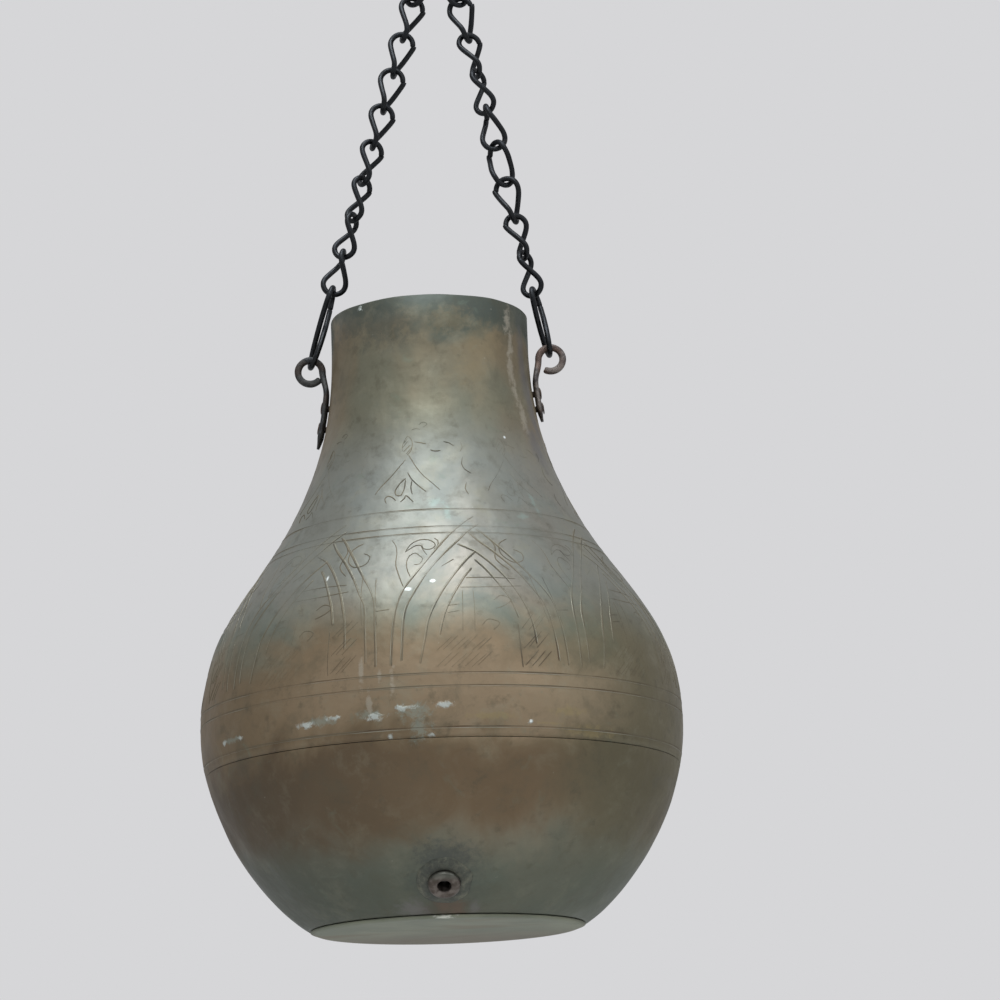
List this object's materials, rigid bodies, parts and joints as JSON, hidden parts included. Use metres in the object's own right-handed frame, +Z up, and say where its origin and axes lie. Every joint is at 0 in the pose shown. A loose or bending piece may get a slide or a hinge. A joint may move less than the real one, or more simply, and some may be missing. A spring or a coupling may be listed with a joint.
{
  "type": "hanging copper pot",
  "caption": "Round-bellied copper pot with a straight neck and a small spout low at the front, hung from one ring by two chains of twisted wire links.",
  "frame": {"origin": "inside the top of the hanging ring, where a hook bears", "axes": "+Z up along the plumb line, +Y to the back with the spout at -Y, +X to the side of the brownish lug"},
  "size_m": [0.2439, 0.244, 0.5721],
  "materials": {
    "patinated_copper": "mottled olive-brown patina, worn",
    "tinned_copper": "dull grey-green patina",
    "solder_grey": "dull grey solder",
    "rivet_copper": "dull, darkened",
    "forged_iron": "forged, dark and dry",
    "black_wire": "satin black"
  },
  "bodies": {
    "ring": {"hanging_ring": "black_wire"},
    "left_link_1": {"left_link_1": "black_wire"},
    "left_link_2": {"left_link_2": "black_wire"},
    "left_link_3": {"left_link_3": "black_wire"},
    "left_link_4": {"left_link_4": "black_wire"},
    "left_link_5": {"left_link_5": "black_wire"},
    "left_link_6": {"left_link_6": "black_wire"},
    "left_link_7": {"left_link_7": "black_wire"},
    "left_link_8": {"left_link_8": "black_wire"},
    "left_link_9": {"left_link_9": "black_wire"},
    "left_end_link": {"left_end_link": "black_wire"},
    "right_link_1": {"right_link_1": "black_wire"},
    "right_link_2": {"right_link_2": "black_wire"},
    "right_link_3": {"right_link_3": "black_wire"},
    "right_link_4": {"right_link_4": "black_wire"},
    "right_link_5": {"right_link_5": "black_wire"},
    "right_link_6": {"right_link_6": "black_wire"},
    "right_link_7": {"right_link_7": "black_wire"},
    "right_link_8": {"right_link_8": "black_wire"},
    "right_link_9": {"right_link_9": "black_wire"},
    "right_end_link": {"right_end_link": "black_wire"},
    "pot": {"upper_body": "patinated_copper", "lower_bowl": "patinated_copper", "base_disc": "tinned_copper", "spout_collar": "solder_grey", "spout_nozzle": "patinated_copper", "left_lug": "forged_iron", "left_lug_rivet_upper": "rivet_copper", "left_lug_rivet_lower": "rivet_copper", "right_lug": "forged_iron", "right_lug_rivet_upper": "rivet_copper", "right_lug_rivet_lower": "rivet_copper"}
  },
  "joints": [
    {"name": "left_link_1_swing", "type": "hinge", "parent": "ring", "child": "left_link_1", "pos_m": [-0.00758, 0, -0.05646], "axis": [0.9999, 0, -0.0125], "range_deg": [-20, 20]},
    {"name": "left_link_2_swing", "type": "hinge", "parent": "left_link_1", "child": "left_link_2", "pos_m": [-0.01234, 0, -0.07431], "axis": [-0.9999, 0, 0.0125], "range_deg": [-20, 20]},
    {"name": "left_link_3_swing", "type": "hinge", "parent": "left_link_2", "child": "left_link_3", "pos_m": [-0.01731, 0, -0.09298], "axis": [0.9999, 0, -0.0125], "range_deg": [-20, 20]},
    {"name": "left_link_4_swing", "type": "hinge", "parent": "left_link_3", "child": "left_link_4", "pos_m": [-0.02262, 0, -0.11289], "axis": [-0.9999, 0, 0.0125], "range_deg": [-10, 10]},
    {"name": "left_link_5_swing", "type": "hinge", "parent": "left_link_4", "child": "left_link_5", "pos_m": [-0.02869, 0, -0.13567], "axis": [0.9999, 0, -0.0125], "range_deg": [-18, 18]},
    {"name": "left_link_6_swing", "type": "hinge", "parent": "left_link_5", "child": "left_link_6", "pos_m": [-0.03377, 0, -0.15475], "axis": [-0.9999, 0, 0.0125], "range_deg": [-20, 20]},
    {"name": "left_link_7_swing", "type": "hinge", "parent": "left_link_6", "child": "left_link_7", "pos_m": [-0.03886, 0, -0.17384], "axis": [0.9999, 0, -0.0125], "range_deg": [-20, 20]},
    {"name": "left_link_8_swing", "type": "hinge", "parent": "left_link_7", "child": "left_link_8", "pos_m": [-0.04394, 0, -0.19292], "axis": [-0.9999, 0, 0.0125], "range_deg": [-16, 16]},
    {"name": "left_link_9_swing", "type": "hinge", "parent": "left_link_8", "child": "left_link_9", "pos_m": [-0.04968, 0, -0.21447], "axis": [0.9999, 0, -0.0125], "range_deg": [-9, 9]},
    {"name": "left_end_link_swing", "type": "hinge", "parent": "left_link_9", "child": "left_end_link", "pos_m": [-0.05532, 0, -0.23561], "axis": [-0.9999, 0, 0.0125], "range_deg": [-28, 28]},
    {"name": "right_link_1_swing", "type": "hinge", "parent": "ring", "child": "right_link_1", "pos_m": [0.00687, 0, -0.05664], "axis": [0.9999, 0, -0.0125], "range_deg": [-20, 20]},
    {"name": "right_link_2_swing", "type": "hinge", "parent": "right_link_1", "child": "right_link_2", "pos_m": [0.01118, 0, -0.0746], "axis": [-0.9999, 0, 0.0125], "range_deg": [-20, 20]},
    {"name": "right_link_3_swing", "type": "hinge", "parent": "right_link_2", "child": "right_link_3", "pos_m": [0.01569, 0, -0.09339], "axis": [0.9999, 0, -0.0125], "range_deg": [-20, 20]},
    {"name": "right_link_4_swing", "type": "hinge", "parent": "right_link_3", "child": "right_link_4", "pos_m": [0.02049, 0, -0.11343], "axis": [-0.9999, 0, 0.0125], "range_deg": [-10, 10]},
    {"name": "right_link_5_swing", "type": "hinge", "parent": "right_link_4", "child": "right_link_5", "pos_m": [0.026, 0, -0.13635], "axis": [0.9999, 0, -0.0125], "range_deg": [-18, 18]},
    {"name": "right_link_6_swing", "type": "hinge", "parent": "right_link_5", "child": "right_link_6", "pos_m": [0.0306, 0, -0.15555], "axis": [-0.9999, 0, 0.0125], "range_deg": [-20, 20]},
    {"name": "right_link_7_swing", "type": "hinge", "parent": "right_link_6", "child": "right_link_7", "pos_m": [0.03521, 0, -0.17476], "axis": [0.9999, 0, -0.0125], "range_deg": [-20, 20]},
    {"name": "right_link_8_swing", "type": "hinge", "parent": "right_link_7", "child": "right_link_8", "pos_m": [0.03982, 0, -0.19396], "axis": [-0.9999, 0, 0.0125], "range_deg": [-16, 16]},
    {"name": "right_link_9_swing", "type": "hinge", "parent": "right_link_8", "child": "right_link_9", "pos_m": [0.04502, 0, -0.21565], "axis": [0.9999, 0, -0.0125], "range_deg": [-9, 9]},
    {"name": "right_end_link_swing", "type": "hinge", "parent": "right_link_9", "child": "right_end_link", "pos_m": [0.05012, 0, -0.23692], "axis": [-0.9999, 0, 0.0125], "range_deg": [-28, 28]},
    {"name": "pot_swing", "type": "hinge", "parent": "left_end_link", "child": "pot", "pos_m": [-0.06487, 0, -0.27146], "axis": [0.9987, 0, 0.0504], "range_deg": [-60, 60]}
  ],
  "couplings": [
    {"joint": "right_link_1_swing", "follows": "left_link_1_swing", "ratio": 1},
    {"joint": "right_link_2_swing", "follows": "left_link_2_swing", "ratio": 1},
    {"joint": "right_link_3_swing", "follows": "left_link_3_swing", "ratio": 1},
    {"joint": "right_link_4_swing", "follows": "left_link_4_swing", "ratio": 1},
    {"joint": "right_link_5_swing", "follows": "left_link_5_swing", "ratio": 1},
    {"joint": "right_link_6_swing", "follows": "left_link_6_swing", "ratio": 1},
    {"joint": "right_link_7_swing", "follows": "left_link_7_swing", "ratio": 1},
    {"joint": "right_link_8_swing", "follows": "left_link_8_swing", "ratio": 1},
    {"joint": "right_link_9_swing", "follows": "left_link_9_swing", "ratio": 1},
    {"joint": "right_end_link_swing", "follows": "left_end_link_swing", "ratio": 1}
  ]
}
